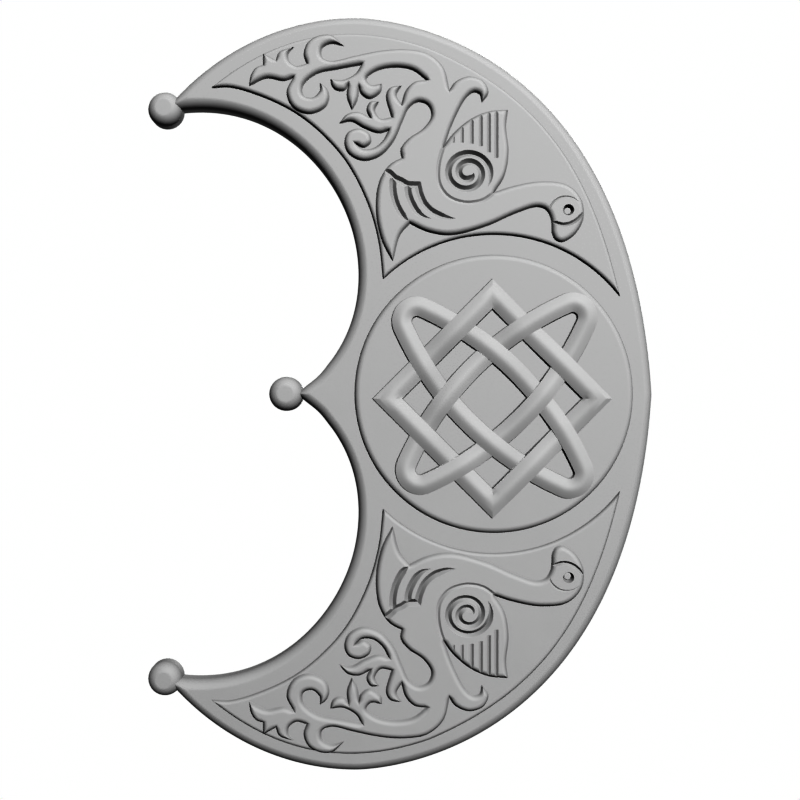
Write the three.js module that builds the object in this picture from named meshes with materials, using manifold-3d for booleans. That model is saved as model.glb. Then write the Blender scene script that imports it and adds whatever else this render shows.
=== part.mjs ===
import * as THREE from 'three';
import { mergeVertices } from 'three/addons/utils/BufferGeometryUtils.js';
import Module from 'manifold-3d';

const wasm = await Module();
wasm.setup();

// Crescent onlay: a flat-backed plate shaped like a crescent that opens to the left, with three
// balls at its points, a round medallion with an interlaced star, and a bird among leaves on a
// raised panel in each arm.
//
// The relief is worked out lying down: x to the right, y up the onlay, z from the flat back
// towards the viewer. The last lines stand it up, with the back in the plane y = 0.

// Driving dimensions, in millimetres
const ONLAY_HEIGHT = 189.5;
const EDGE_HEIGHT = 2.75;
const SHOULDER_RADIUS = 3.03;
const SHOULDER_RUN = 2.45;
const BALL_RADIUS = 4.28;
const PANEL_RISE = 1.08;
const FIGURE_RISE = 1.25;
const MEDALLION_RADIUS = 34.75;
const MEDALLION_RISE = 1.5;
const PANEL_ROUNDING = 0.9;
const PANEL_GAP = 5.1;

// The knot
const LOOP_LENGTH = 60.77;
const LOOP_BREADTH = 17.26;
const LOOP_END_RADIUS = 3.7;
const LOOP_WIDTH = 4.83;
const DIAMOND_REACH = 25.95;
const DIAMOND_WIDTH = 5.15;
const STRAND_RISE = 2.66;
const STRAND_RIDGE = 0.55;
const STRAND_SLOPE = 0.557;
const WEAVE_LIFT = 0.69;

// The grooves cut into the birds, and the eye
const SPIRAL_GROOVE = { width: 1.7, depth: 1.15 };
const TAIL_GROOVE = { width: 1.9, depth: 1.12 };
const WING_GROOVE = { width: 1.15, depth: 0.46 };
const FEATHER_GROOVE = { width: 1.05, depth: 0.6 };
const FACE_GROOVE = { width: 0.6, depth: 0.3 };
const BEAK_GROOVE = { width: 1.05, depth: 0.8 };
const EYE_RADIUS = 1.35;
const EYE_DEPTH = 2.2;
const EYE_TAPER = 0.68;
const PUPIL_RADIUS = 0.98;
const PUPIL_ROUNDING = 0.25;

// How finely round forms are cut into flat facets
const SHOULDER_FACETS = 3;
const LEDGE_FACETS = 2;
const FACET_TURN = THREE.MathUtils.degToRad(30);
const CRESCENT_SPANS = 13;
const HORN_SPANS = 7;
const PANEL_SPANS = 9;
const BALL_FACETS = 24;
const MEDALLION_FACETS = 60;
const LOOP_SIDE_STATIONS = 14;
const LOOP_END_STATIONS = 8;
const DIAMOND_LEG_STATIONS = 12;
const STRAND_SHARES = [0.5, 0.14, -0.14, -0.5];
const SPIRAL_STATIONS = 36;
const SPIRAL_SPAN = 4;
const EYE_FACETS = 16;

// The flat shapes are drawn on a grid that divides the onlay's height, with its origin at the
// medallion's centre.
const DRAWING_HEIGHT = 758;
const STEP = ONLAY_HEIGHT / DRAWING_HEIGHT;

const PLATE_TOP = EDGE_HEIGHT + roundedRise(SHOULDER_RUN, SHOULDER_RADIUS);
const PANEL_TOP = PLATE_TOP + PANEL_RISE;
const FIGURE_TOP = PANEL_TOP + FIGURE_RISE;
const MEDALLION_TOP = PLATE_TOP + MEDALLION_RISE;

// How deep a raised piece is rooted in what carries it, and how far a cutter stands proud
const ROOT = 0.8;
const CUTTER_PROUD = 0.25;

// Share of the room inside an outline that its rounding may take up
const ROOM_SHARE = 0.86;

// The upper half of the crescent's edge, drawn from the right-hand side over the top
const CRESCENT = {
  right: [160.2, 0],
  rightBend: [136.9, 374.5],
  topBend: [-125.9, 379],
  top: [-138.5, 379],
  hornBend: [-207, 379],
  hornPull: [-277.6, 348.5],
  hornOuter: [-328.6, 287.5],
  hornInner: [-316.3, 286],
  innerPull: [-173.4, 303.2],
  innerBend: [-88, 133.3],
  cusp: [[-163.4, 33.4], [-175, 19], [-189.5, 7], [-198, 0]],
};
const HORN_BALL = [-330.5, 287];
const CUSP_BALL = [-208.5, 0];

// A panel's two long sides meet in a point at the horn, and end on an arc round the medallion
const PANEL = {
  startAngle: THREE.MathUtils.degToRad(37.8),
  outerBends: [[98.5, 216], [54, 295]],
  shoulder: [-64, 345],
  outerPulls: [[-144, 373], [-216, 360]],
  tip: [-281.5, 306],
  inner: [[-263, 306.5], [-229.5, 296.5], [-197.5, 280.5], [-170.5, 259], [-146, 230.5],
    [-125, 189], [-114.5, 151]],
  endAngle: THREE.MathUtils.degToRad(133.8),
};

// The bird with its leaves, as runs of a smooth line. Each run starts where the one before it
// ends, with a corner between them.
const FIGURE_START = [-243.5, 307];
const FIGURE_RUNS = [
  // leaf at the horn
  [[-241.5, 317.5], [-236.5, 324.5], [-229.5, 327]],
  // spike
  [[-229.5, 338.5]],
  [[-217, 331.5]],
  // upper leaf
  [[-213.5, 340], [-199.5, 345]],
  [[-205, 339], [-204.5, 331.5], [-197, 326], [-186, 328.5]],
  // curl at the top
  [[-189, 338], [-185.5, 349], [-176, 355.5], [-162, 356.5], [-150, 346.5]],
  [[-162, 349], [-171.5, 344], [-171.5, 335], [-162.5, 331], [-138.5, 336], [-113.5, 341],
    [-88.5, 342.5], [-66.5, 338.5], [-51, 325], [-44.5, 301.5]],
  // curl at the bird's shoulder
  [[-38.5, 310], [-25, 315.5], [-11, 311], [-6, 300], [-12, 290.5]],
  [[-14, 298.5], [-20.5, 300.5], [-28.5, 294.5], [-41.5, 270], [-50.5, 245]],
  // wing
  [[-41, 258], [-24, 272.5], [-6, 280.5], [13.5, 282.5]],
  [[11.5, 266.5], [14, 241], [10, 217.5], [-0.5, 200]],
  // neck, head and beak
  [[18, 206], [46, 211], [73, 207.5], [86.5, 193.5], [88.5, 175], [80, 159], [67.5, 151.5],
    [61, 154], [58, 160.5]],
  // throat and belly
  [[57, 174.5], [52, 183.5], [42.5, 186.5], [21, 180], [-9, 167], [-44, 158.5], [-66.5, 162],
    [-84, 170]],
  // tail
  [[-94, 158], [-101, 132.5]],
  [[-111, 152.5], [-117, 182], [-114.5, 209], [-107, 224], [-100.5, 230], [-91.5, 234.5]],
  // keyhole stem down to the scroll
  [[-92.5, 243.5], [-85, 253.5], [-70, 264], [-62, 276.5], [-65.5, 287.5], [-75.5, 291],
    [-85, 285], [-91.5, 271.5], [-100.5, 251.5], [-114, 237], [-130.5, 232.5], [-144, 239],
    [-148.5, 250], [-145, 260], [-134.5, 263.5], [-124.5, 258.5], [-123, 250.5],
    [-130, 245.5], [-138, 249]],
  [[-131.5, 243.5], [-120.5, 244], [-110.5, 251.5], [-104.5, 262.5]],
  // long leaf over the scroll
  [[-115, 260], [-129.5, 265], [-142, 271.5], [-153.5, 269.5]],
  [[-146, 278], [-135, 280], [-123, 274.5]],
  // three lobes of the fan
  [[-126.5, 283], [-122.5, 290.5], [-115, 290.5]],
  [[-119, 282.5], [-113, 273.5], [-101.5, 275]],
  [[-107, 297], [-103, 304.5], [-92.5, 306.5]],
  [[-97.5, 297.5], [-92, 287.5]],
  [[-87.5, 301.5], [-79, 310], [-66.5, 312]],
  // underside of the top stem
  [[-80.5, 322.5], [-99.5, 325.5], [-118, 321.5], [-127.5, 313.5], [-122.5, 307],
    [-112, 308.5]],
  // three petals hanging from it
  [[-113, 301], [-124, 294], [-132.5, 299.5], [-134.5, 306]],
  [[-136.5, 292.5], [-141.5, 283]],
  [[-146, 296], [-145, 308]],
  [[-149, 302.5], [-156.5, 302.5], [-161, 306.5], [-162.5, 313]],
  [[-150.5, 312], [-137, 319], [-131.5, 328]],
  // hook
  [[-153.5, 324], [-177.5, 318.5], [-190.5, 307], [-190, 297], [-181, 294.5], [-173, 301.5],
    [-173, 309]],
  [[-167, 304], [-164.5, 295.5], [-168.5, 285.5], [-184, 279], [-200, 285.5], [-206, 300.5],
    [-199.5, 315]],
  // underside of the leaf at the horn
  [[-209, 312], [-226.5, 314.5], FIGURE_START],
];

// Lines cut into the bird
const TAIL_TOP_LINES = [
  [[-112, 225], [-98.6, 214], [-87.1, 208], [-75.9, 207]],
  [[-75.9, 207], [-73.7, 197.9], [-61.7, 180.9], [-38.4, 173.8]],
];
const TAIL_LEFT_LINE = [[-101, 216], [-100.8, 204.8], [-97.1, 187.9], [-84.6, 171.5]];
const TAIL_RIGHT_LINE = [[-86, 209.5], [-84.6, 195.9], [-76.7, 180.9], [-62.9, 173.7]];
const WING_LINE = [[-46.5, 251.5], [-55.5, 226], [-54.5, 208], [-45.5, 195.5], [-28, 189.5],
  [-11.5, 192], [1.5, 201]];
const FEATHER_LINES = [
  [[-40.5, 249], [-40.5, 262]],
  [[-32, 249], [-32, 270]],
  [[-22.5, 248], [-22.5, 277]],
  [[-13.5, 245.5], [-13.5, 281]],
  [[-5.5, 239.5], [-5.5, 284]],
  [[2, 234], [2, 287]],
];
const FACE_LINE = [[53.5, 178], [56.5, 187.5], [63.5, 193.8], [71, 195.6], [79, 194]];
const BEAK_LINE = [[56, 170.7], [68.8, 167.8], [77.8, 170.1], [90, 181.5]];
const EYE_CENTRE = [73.6, 182.5];
const PUPIL_CENTRE = [72.5, 181.1];
const SPIRAL = {
  outerCentre: new THREE.Vector2(-27.3, 218.1),
  innerCentre: new THREE.Vector2(-25.7, 219.6),
  stretch: new THREE.Vector2(1, 0.95),
  outerRadius: 24.7,
  innerRadius: 5,
  closing: 1.07,
  start: THREE.MathUtils.degToRad(-32),
  end: THREE.MathUtils.degToRad(712),
};

// The knot's three strands are centred a little apart
const DIAMOND_CENTRE = [-2.1, -4.9];
const FALLING_LOOP_CENTRE = [-1.6, -3.6];
const RISING_LOOP_CENTRE = [2, 0.2];

function placed([x, y]) {
  return new THREE.Vector2(x * STEP, y * STEP);
}

// How high a quarter-round edge has risen at a distance in from its foot
function roundedRise(distance, radius) {
  return Math.sqrt(radius ** 2 - (radius - distance) ** 2);
}

function solidOf(geometry) {
  const bare = geometry.clone();
  bare.deleteAttribute('normal');
  bare.deleteAttribute('uv');
  const merged = mergeVertices(bare, 1e-6);
  const index = [...merged.index.array];
  const kept = [];
  for (let i = 0; i < index.length; i += 3) {
    const [a, b, c] = index.slice(i, i + 3);
    if (a !== b && b !== c && c !== a) kept.push(a, b, c);
  }
  return new wasm.Manifold(new wasm.Mesh({
    numProp: 3,
    vertProperties: new Float32Array(merged.attributes.position.array),
    triVerts: new Uint32Array(kept),
  }));
}

function geometryOf(solid) {
  const mesh = solid.getMesh();
  const geometry = new THREE.BufferGeometry();
  geometry.setAttribute('position', new THREE.BufferAttribute(mesh.vertProperties, 3));
  geometry.setIndex(new THREE.BufferAttribute(mesh.triVerts, 1));
  geometry.computeVertexNormals();
  return geometry;
}

// A closed solid from rings of equally many points, from the lowest ring to the highest. Rings
// that don't close on themselves are capped with flat or gently domed ends.
function solidOfRings(rings, bottomFaces, topFaces) {
  const count = rings[0].length;
  const last = (rings.length - 1) * count;
  const index = [];
  for (let ring = 0; ring < rings.length - 1; ring += 1) {
    for (let i = 0; i < count; i += 1) {
      const a = ring * count + i;
      const b = ring * count + ((i + 1) % count);
      index.push(a, b, b + count, a, b + count, a + count);
    }
  }
  bottomFaces.forEach(([a, b, c]) => index.push(a, c, b));
  topFaces.forEach(([a, b, c]) => index.push(last + a, last + b, last + c));
  return solidOfFaces(rings.flat(), index);
}

function solidOfFaces(points, index) {
  const geometry = new THREE.BufferGeometry().setFromPoints(points);
  geometry.setIndex(index);
  return solidOf(geometry);
}

// Outlines run counter-clockwise, so that the inside lies to the left
function inwardDirections(outline) {
  return outline.map((point, i) => {
    const fromBefore = point.clone().sub(outline.at(i - 1)).normalize();
    const toNext = outline[(i + 1) % outline.length].clone().sub(point).normalize();
    const along = fromBefore.add(toNext).normalize();
    return new THREE.Vector2(-along.y, along.x);
  });
}

// Radius of the largest circle inside the outline that touches it at one of its points
function roomInside(outline, i, inward) {
  const count = outline.length;
  const start = outline[i];
  let room = Infinity;
  outline.forEach((point, j) => {
    if (j === i) return;
    const gap = point.clone().sub(start);
    const ahead = gap.dot(inward);
    if (ahead > 0) room = Math.min(room, gap.lengthSq() / (2 * ahead));
    const next = (j + 1) % count;
    if (next === i) return;
    const along = outline[next].clone().sub(point);
    const length = along.length();
    const facing = new THREE.Vector2(-along.y, along.x).divideScalar(length);
    const touching = -gap.dot(facing) / (1 - facing.dot(inward));
    if (!(touching > 0)) return;
    const place = start.clone().addScaledVector(inward, touching).sub(point).dot(along) / length;
    if (place > 0 && place < length) room = Math.min(room, touching);
  });
  return room;
}

// A piece of relief with this outline: an upright edge, then a rounding that runs in from it.
// Where the outline leaves less room than the rounding needs, its sides meet in a ridge.
function rounded(outline, { foot, edge, radius, facets, run = radius }) {
  const inward = inwardDirections(outline);
  const reach = outline.map((_, i) => Math.min(run, ROOM_SHARE * roomInside(outline, i, inward[i])));
  const rings = [
    outline.map((point) => new THREE.Vector3(point.x, point.y, foot)),
    outline.map((point) => new THREE.Vector3(point.x, point.y, edge)),
  ];
  let top = outline;
  for (let facet = 1; facet <= facets; facet += 1) {
    const share = 1 - Math.cos((facet / facets) * (Math.PI / 2));
    top = outline.map((point, i) => point.clone().addScaledVector(inward[i], reach[i] * share));
    const heights = reach.map((room) => edge + roundedRise(room * share, radius));
    rings.push(top.map((point, i) => new THREE.Vector3(point.x, point.y, heights[i])));
  }
  const bottomFaces = THREE.ShapeUtils.triangulateShape(outline, []);
  const topFaces = THREE.ShapeUtils.triangulateShape(top, []);
  return solidOfRings(rings, bottomFaces, topFaces);
}

// A round piece of relief with the same kind of edge
function roundedDisc(size, sides, [x, y], { foot, edge, radius, facets, run = radius }) {
  const profile = [new THREE.Vector2(0, foot), new THREE.Vector2(size, foot)];
  for (let facet = 0; facet <= facets; facet += 1) {
    const inset = run * (1 - Math.cos((facet / facets) * (Math.PI / 2)));
    profile.push(new THREE.Vector2(size - inset, edge + roundedRise(inset, radius)));
  }
  profile.push(new THREE.Vector2(0, profile.at(-1).y));
  const centre = placed([x, y]);
  const disc = new THREE.LatheGeometry(profile, sides);
  disc.rotateX(Math.PI / 2);
  disc.translate(centre.x, centre.y, 0);
  return solidOf(disc);
}

function turnedOver(outline) {
  return outline.map((point) => new THREE.Vector2(point.x, -point.y)).reverse();
}

// A smooth line through points of the drawing, with more points where it bends more
function smoothLine(points) {
  const curve = new THREE.CatmullRomCurve3(
    points.map(placed).map(({ x, y }) => new THREE.Vector3(x, y, 0)), false, 'centripetal');
  const spans = points.length - 1;
  const line = [];
  for (let span = 0; span < spans; span += 1) {
    const from = curve.getTangent(span / spans);
    const to = curve.getTangent((span + 1) / spans);
    const pieces = Math.max(1, Math.round(from.angleTo(to) / FACET_TURN));
    for (let piece = 0; piece < pieces; piece += 1) {
      line.push(curve.getPoint((span + piece / pieces) / spans));
    }
  }
  line.push(curve.getPoint(1));
  return line.map(({ x, y }) => new THREE.Vector2(x, y));
}

function bezier(points) {
  return new THREE.CubicBezierCurve(...points.map(placed));
}

function crescentOutline() {
  const drawn = CRESCENT;
  const side = bezier([drawn.right, drawn.rightBend, drawn.topBend, drawn.top]);
  const horn = bezier([drawn.top, drawn.hornBend, drawn.hornPull, drawn.hornOuter]);
  const inner = bezier([drawn.hornInner, drawn.innerPull, drawn.innerBend, drawn.cusp[0]]);
  const upper = [
    ...side.getPoints(2 * CRESCENT_SPANS),
    ...horn.getPoints(HORN_SPANS).slice(1),
    ...inner.getPoints(CRESCENT_SPANS),
    ...smoothLine(drawn.cusp).slice(1),
  ];
  return [...upper, ...turnedOver(upper).slice(1, -1)];
}

function panelOutline() {
  const radius = MEDALLION_RADIUS + PANEL_GAP;
  const arc = new THREE.ArcCurve(0, 0, radius, PANEL.endAngle, PANEL.startAngle, true);
  const start = arc.getPoint(1).divideScalar(STEP).toArray();
  const end = arc.getPoint(0).divideScalar(STEP).toArray();
  const outer = bezier([start, ...PANEL.outerBends, PANEL.shoulder]);
  const upper = bezier([PANEL.shoulder, ...PANEL.outerPulls, PANEL.tip]);
  return [
    ...outer.getPoints(PANEL_SPANS),
    ...upper.getPoints(PANEL_SPANS).slice(1),
    ...smoothLine([PANEL.tip, ...PANEL.inner, end]).slice(1),
    ...arc.getPoints(PANEL_SPANS).slice(1, -1),
  ];
}

function figureOutline() {
  let corner = FIGURE_START;
  return FIGURE_RUNS.flatMap((run) => {
    const line = smoothLine([corner, ...run]);
    corner = run.at(-1);
    return line.slice(0, -1);
  }).reverse();
}

// A cutter for a V-shaped groove. Each station has a point, a direction across the groove and a
// share of the full depth, so that a groove can run out at its ends.
function grooveCutter(stations, { width, depth }) {
  const top = FIGURE_TOP + CUTTER_PROUD;
  const rings = stations.map(({ point, across, share }) => {
    const deep = depth * share;
    const reach = (width / 2) * ((deep + CUTTER_PROUD) / depth);
    const [a, b] = [reach, -reach].map((offset) => point.clone().addScaledVector(across, offset));
    return [
      new THREE.Vector3(point.x, point.y, FIGURE_TOP - deep),
      new THREE.Vector3(a.x, a.y, top),
      new THREE.Vector3(b.x, b.y, top),
    ];
  });
  return solidOfRings(rings, [[0, 1, 2]], [[0, 1, 2]]);
}

// Stations along a line, with the groove fading out over a share of its length at each end
function grooveStations(line, fadeIn, fadeOut) {
  const last = line.length - 1;
  return line.map((point, i) => {
    const before = line[Math.max(0, i - 1)];
    const next = line[Math.min(last, i + 1)];
    const along = next.clone().sub(before).normalize();
    const rise = fadeIn > 0 ? Math.min(1, i / last / fadeIn) : 1;
    const fall = fadeOut > 0 ? Math.min(1, (1 - i / last) / fadeOut) : 1;
    return { point, across: new THREE.Vector2(-along.y, along.x), share: Math.min(rise, fall) };
  });
}

function lineCutter(points, groove, fadeIn, fadeOut) {
  return grooveCutter(grooveStations(smoothLine(points), fadeIn, fadeOut), groove);
}

// The spiral on the wing is cut in short lengths, because its turns lie side by side
function spiralCutters() {
  const line = Array.from({ length: SPIRAL_STATIONS + 1 }, (_, i) => {
    const share = i / SPIRAL_STATIONS;
    const angle = THREE.MathUtils.lerp(SPIRAL.start, SPIRAL.end, share);
    const left = (1 - share) ** SPIRAL.closing;
    const radius = THREE.MathUtils.lerp(SPIRAL.innerRadius, SPIRAL.outerRadius, left);
    const around = new THREE.Vector2(Math.cos(angle), Math.sin(angle)).multiply(SPIRAL.stretch);
    const centre = SPIRAL.outerCentre.clone().lerp(SPIRAL.innerCentre, share);
    return placed(centre.addScaledVector(around, radius).toArray());
  });
  const stations = grooveStations(line, 0.08, 0.05);
  const cutters = [];
  for (let start = 0; start < SPIRAL_STATIONS; start += SPIRAL_SPAN) {
    const span = stations.slice(start, start + SPIRAL_SPAN + 1);
    cutters.push(grooveCutter(span, SPIRAL_GROOVE));
  }
  return cutters;
}

function figureCutters() {
  const [tailTop, tailTurn] = TAIL_TOP_LINES;
  return [
    lineCutter(tailTop, TAIL_GROOVE, 0, 0),
    lineCutter(tailTurn, TAIL_GROOVE, 0, 0.3),
    lineCutter(TAIL_LEFT_LINE, TAIL_GROOVE, 0.3, 0.3),
    lineCutter(TAIL_RIGHT_LINE, TAIL_GROOVE, 0.3, 0.5),
    lineCutter(WING_LINE, WING_GROOVE, 0, 0),
    lineCutter(BEAK_LINE, BEAK_GROOVE, 0, 0),
    lineCutter(FACE_LINE, FACE_GROOVE, 0.2, 0.6),
    ...FEATHER_LINES.map((line) => lineCutter(line, FEATHER_GROOVE, 0, 0)),
    ...spiralCutters(),
  ];
}

// The round hollow of the eye, narrowing downwards
function eyeHollow() {
  const middle = placed(EYE_CENTRE);
  const circle = (radius, height) => Array.from({ length: EYE_FACETS }, (_, i) => {
    const angle = (i / EYE_FACETS) * 2 * Math.PI;
    const [x, y] = [Math.cos(angle), Math.sin(angle)];
    return new THREE.Vector3(middle.x + radius * x, middle.y + radius * y, height);
  });
  const flare = (EYE_TAPER * CUTTER_PROUD) / EYE_DEPTH;
  const rings = [
    circle(EYE_RADIUS - EYE_TAPER, FIGURE_TOP - EYE_DEPTH),
    circle(EYE_RADIUS + flare, FIGURE_TOP + CUTTER_PROUD),
  ];
  const outline = rings[0].map(({ x, y }) => new THREE.Vector2(x, y));
  const faces = THREE.ShapeUtils.triangulateShape(outline, []);
  return solidOfRings(rings, faces, faces);
}

function pupil() {
  return roundedDisc(PUPIL_RADIUS, EYE_FACETS, PUPIL_CENTRE, {
    foot: FIGURE_TOP - EYE_DEPTH - CUTTER_PROUD,
    edge: FIGURE_TOP - PUPIL_ROUNDING,
    radius: PUPIL_ROUNDING,
    facets: LEDGE_FACETS,
  });
}

// One long loop of the knot, lying along x: two shallow arcs joined by tight round ends
function loopLine(centre, turn) {
  const endCentre = LOOP_LENGTH / 2 - LOOP_END_RADIUS;
  const half = LOOP_BREADTH / 2;
  const sideRadius = (endCentre ** 2 + half ** 2 - LOOP_END_RADIUS ** 2)
    / (LOOP_BREADTH - 2 * LOOP_END_RADIUS);
  const sink = sideRadius - half;
  const join = Math.atan2(sink, endCentre);
  const arcs = [
    [-endCentre, 0, LOOP_END_RADIUS, Math.PI, Math.PI - join, LOOP_END_STATIONS / 2],
    [0, -sink, sideRadius, Math.PI - join, join, LOOP_SIDE_STATIONS],
    [endCentre, 0, LOOP_END_RADIUS, join, -join, LOOP_END_STATIONS],
    [0, sink, sideRadius, -join, join - Math.PI, LOOP_SIDE_STATIONS],
    [-endCentre, 0, LOOP_END_RADIUS, join - Math.PI, -Math.PI, LOOP_END_STATIONS / 2],
  ];
  const middle = placed(centre);
  return arcs.flatMap(([x, y, radius, from, to, stations]) => (
    Array.from({ length: stations }, (_, i) => {
      const angle = THREE.MathUtils.lerp(from, to, i / stations);
      const across = new THREE.Vector2(Math.cos(angle), Math.sin(angle));
      const point = across.clone().multiplyScalar(radius).add(new THREE.Vector2(x, y));
      const origin = new THREE.Vector2();
      return {
        point: point.rotateAround(origin, turn).add(middle),
        across: across.rotateAround(origin, turn),
      };
    })
  ));
}

// The square strand, standing on one corner, with mitred corners
function diamondLine() {
  const middle = placed(DIAMOND_CENTRE);
  const corner = (turn) => {
    const angle = Math.PI - turn * (Math.PI / 2);
    return new THREE.Vector2(Math.cos(angle), Math.sin(angle)).multiplyScalar(DIAMOND_REACH);
  };
  const line = [];
  for (let leg = 0; leg < 4; leg += 1) {
    const [from, to] = [corner(leg), corner(leg + 1)];
    const along = to.clone().sub(from).normalize();
    for (let i = 0; i < DIAMOND_LEG_STATIONS; i += 1) {
      const point = from.clone().lerp(to, i / DIAMOND_LEG_STATIONS);
      const mitre = from.clone().normalize().multiplyScalar(Math.SQRT2);
      const across = i === 0 ? mitre : new THREE.Vector2(-along.y, along.x);
      line.push({ point: point.add(middle), across });
    }
  }
  return line;
}

// Distance along a closed line at each station, and at its end
function distancesAlong(line) {
  let total = 0;
  const distances = line.map(({ point }, i) => {
    if (i > 0) total += point.distanceTo(line[i - 1].point);
    return total;
  });
  return { distances, total: total + line[0].point.distanceTo(line.at(-1).point) };
}

// Places along the first line where the second one crosses it
function crossings(line, other) {
  const { distances } = distancesAlong(line);
  const found = [];
  line.forEach(({ point: a }, i) => {
    const b = line[(i + 1) % line.length].point;
    other.forEach(({ point: c }, j) => {
      const d = other[(j + 1) % other.length].point;
      const [span, reach, gap] = [b.clone().sub(a), d.clone().sub(c), c.clone().sub(a)];
      const scale = span.cross(reach);
      const along = gap.cross(reach) / scale;
      const across = gap.cross(span) / scale;
      if (along >= 0 && along < 1 && across >= 0 && across < 1) {
        found.push(distances[i] + along * span.length());
      }
    });
  });
  return found;
}

// Height of each station's crown. From its start, a strand passes under the first strand that it
// meets, over the second, and so on by turns, in an even wave between them.
function crownHeights(line, others) {
  const { distances, total } = distancesAlong(line);
  const places = others.flatMap((other) => crossings(line, other)).sort((a, b) => a - b);
  const around = [places.at(-1) - total, ...places, places[0] + total];
  return distances.map((distance) => {
    const next = around.findIndex((place) => place > distance);
    const [from, to] = [around[next - 1], around[next]];
    const wave = Math.cos(((distance - from) / (to - from)) * Math.PI);
    return MEDALLION_TOP + STRAND_RISE + (next % 2 === 0 ? -wave : wave) * WEAVE_LIFT;
  });
}

// A strand: a band with a softly ridged top that follows a closed line
function strand(line, width, others) {
  const crowns = crownHeights(line, others);
  const drop = (offset) => STRAND_RIDGE - Math.hypot(STRAND_RIDGE, STRAND_SLOPE * offset);
  const rings = line.map(({ point, across }, i) => {
    const at = (offset, height) => {
      const place = point.clone().addScaledVector(across, offset);
      return new THREE.Vector3(place.x, place.y, height);
    };
    const foot = MEDALLION_TOP - ROOT;
    const top = STRAND_SHARES.map((share) => share * width).map((x) => at(x, crowns[i] + drop(x)));
    return [at(-width / 2, foot), at(width / 2, foot), ...top];
  });
  return solidOfRings([...rings, rings[0]], [], []);
}

function knot() {
  const diamond = diamondLine();
  const falling = loopLine(FALLING_LOOP_CENTRE, -Math.PI / 4);
  const rising = loopLine(RISING_LOOP_CENTRE, (-3 * Math.PI) / 4);
  return [
    strand(diamond, DIAMOND_WIDTH, [falling, rising]),
    strand(falling, LOOP_WIDTH, [diamond, rising]),
    strand(rising, LOOP_WIDTH, [diamond, falling]),
  ];
}

function plate() {
  const edge = {
    foot: 0,
    edge: EDGE_HEIGHT,
    radius: SHOULDER_RADIUS,
    run: SHOULDER_RUN,
    facets: SHOULDER_FACETS,
  };
  const [hornX, hornY] = HORN_BALL;
  const centres = [HORN_BALL, [hornX, -hornY], CUSP_BALL];
  const balls = centres.map((centre) => roundedDisc(BALL_RADIUS, BALL_FACETS, centre, edge));
  return [rounded(crescentOutline(), edge), ...balls];
}

function medallion() {
  return roundedDisc(MEDALLION_RADIUS, MEDALLION_FACETS, [0, 0], {
    foot: PLATE_TOP - ROOT,
    edge: PLATE_TOP,
    radius: MEDALLION_RISE,
    facets: LEDGE_FACETS,
  });
}

function armRelief() {
  const panel = rounded(panelOutline(), {
    foot: PLATE_TOP - ROOT,
    edge: PANEL_TOP - PANEL_ROUNDING,
    radius: PANEL_ROUNDING,
    facets: LEDGE_FACETS,
  });
  const uncut = rounded(figureOutline(), {
    foot: PLATE_TOP - ROOT,
    edge: PANEL_TOP,
    radius: FIGURE_RISE,
    facets: SHOULDER_FACETS,
  });
  const figure = figureCutters().reduce((left, cutter) => left.subtract(cutter), uncut);
  return panel.add(figure).subtract(eyeHollow()).add(pupil());
}

function crescentOnlay() {
  const arm = armRelief();
  const pieces = [...plate(), medallion(), ...knot(), arm, arm.mirror([0, 1, 0])];
  const whole = pieces.reduce((joined, piece) => joined.add(piece));
  const geometry = geometryOf(whole);
  geometry.rotateX(Math.PI / 2);
  const stone = new THREE.MeshStandardMaterial({ color: 0xb4b4b4, roughness: 0.6, metalness: 0 });
  const mesh = new THREE.Mesh(geometry, stone);
  mesh.name = 'crescent_onlay';
  return mesh;
}

const onlay = new THREE.Group();
onlay.add(crescentOnlay());

export default onlay;
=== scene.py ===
from math import atan2, cos, hypot, pi, radians, sin, sqrt

import bpy
import numpy as np
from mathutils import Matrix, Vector


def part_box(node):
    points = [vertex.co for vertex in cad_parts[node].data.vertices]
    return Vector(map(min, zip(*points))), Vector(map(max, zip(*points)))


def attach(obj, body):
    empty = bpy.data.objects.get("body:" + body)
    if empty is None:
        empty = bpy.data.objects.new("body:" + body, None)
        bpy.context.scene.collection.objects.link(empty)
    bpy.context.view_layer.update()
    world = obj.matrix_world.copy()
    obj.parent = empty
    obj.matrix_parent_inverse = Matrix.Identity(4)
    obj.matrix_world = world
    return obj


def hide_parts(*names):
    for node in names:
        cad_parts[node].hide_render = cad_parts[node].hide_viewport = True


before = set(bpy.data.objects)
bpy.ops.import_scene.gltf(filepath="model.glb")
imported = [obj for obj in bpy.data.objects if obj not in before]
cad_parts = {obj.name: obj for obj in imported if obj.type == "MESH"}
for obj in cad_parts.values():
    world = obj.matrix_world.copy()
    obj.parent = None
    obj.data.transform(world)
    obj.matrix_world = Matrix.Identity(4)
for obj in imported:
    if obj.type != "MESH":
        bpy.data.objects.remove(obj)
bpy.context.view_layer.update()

bl_info = {
    "name": "Crescent onlay",
    "version": (1, 0, 0),
    "blender": (4, 5, 0),
    "location": "3D View > Sidebar > Onlay",
    "description": "Builds a crescent onlay in relief, with birds, leaves and a knot",
    "category": "Object",
}

NODE = "crescent_onlay"
LOWEST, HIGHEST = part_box(NODE)

# The flat shapes are drawn on a grid that divides the onlay's height, with its origin at the
# medallion's centre.
DRAWING_HEIGHT = 758
STEP = (HIGHEST[2] - LOWEST[2]) / DRAWING_HEIGHT

# How deep a raised piece is rooted in what carries it, and how far a cutter stands proud of it
ROOT = 0.0008
PROUD = 0.0003

# Share of the room inside an outline that its rounding may take up, and room without a limit
ROOM_SHARE = 0.93
OPEN_ROOM = 1

# Curves are cut into facets that turn by no more than this and are no longer than this. Gentle
# curves and round pieces take longer ones.
FACET_TURN = radians(7)
FACET_LENGTH = 0.0006
GENTLE_FACET = 0.0012
ROUND_FACET = 0.0009

# Faces that lean less than this against each other are made one
FLAT = radians(0.1)

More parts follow.
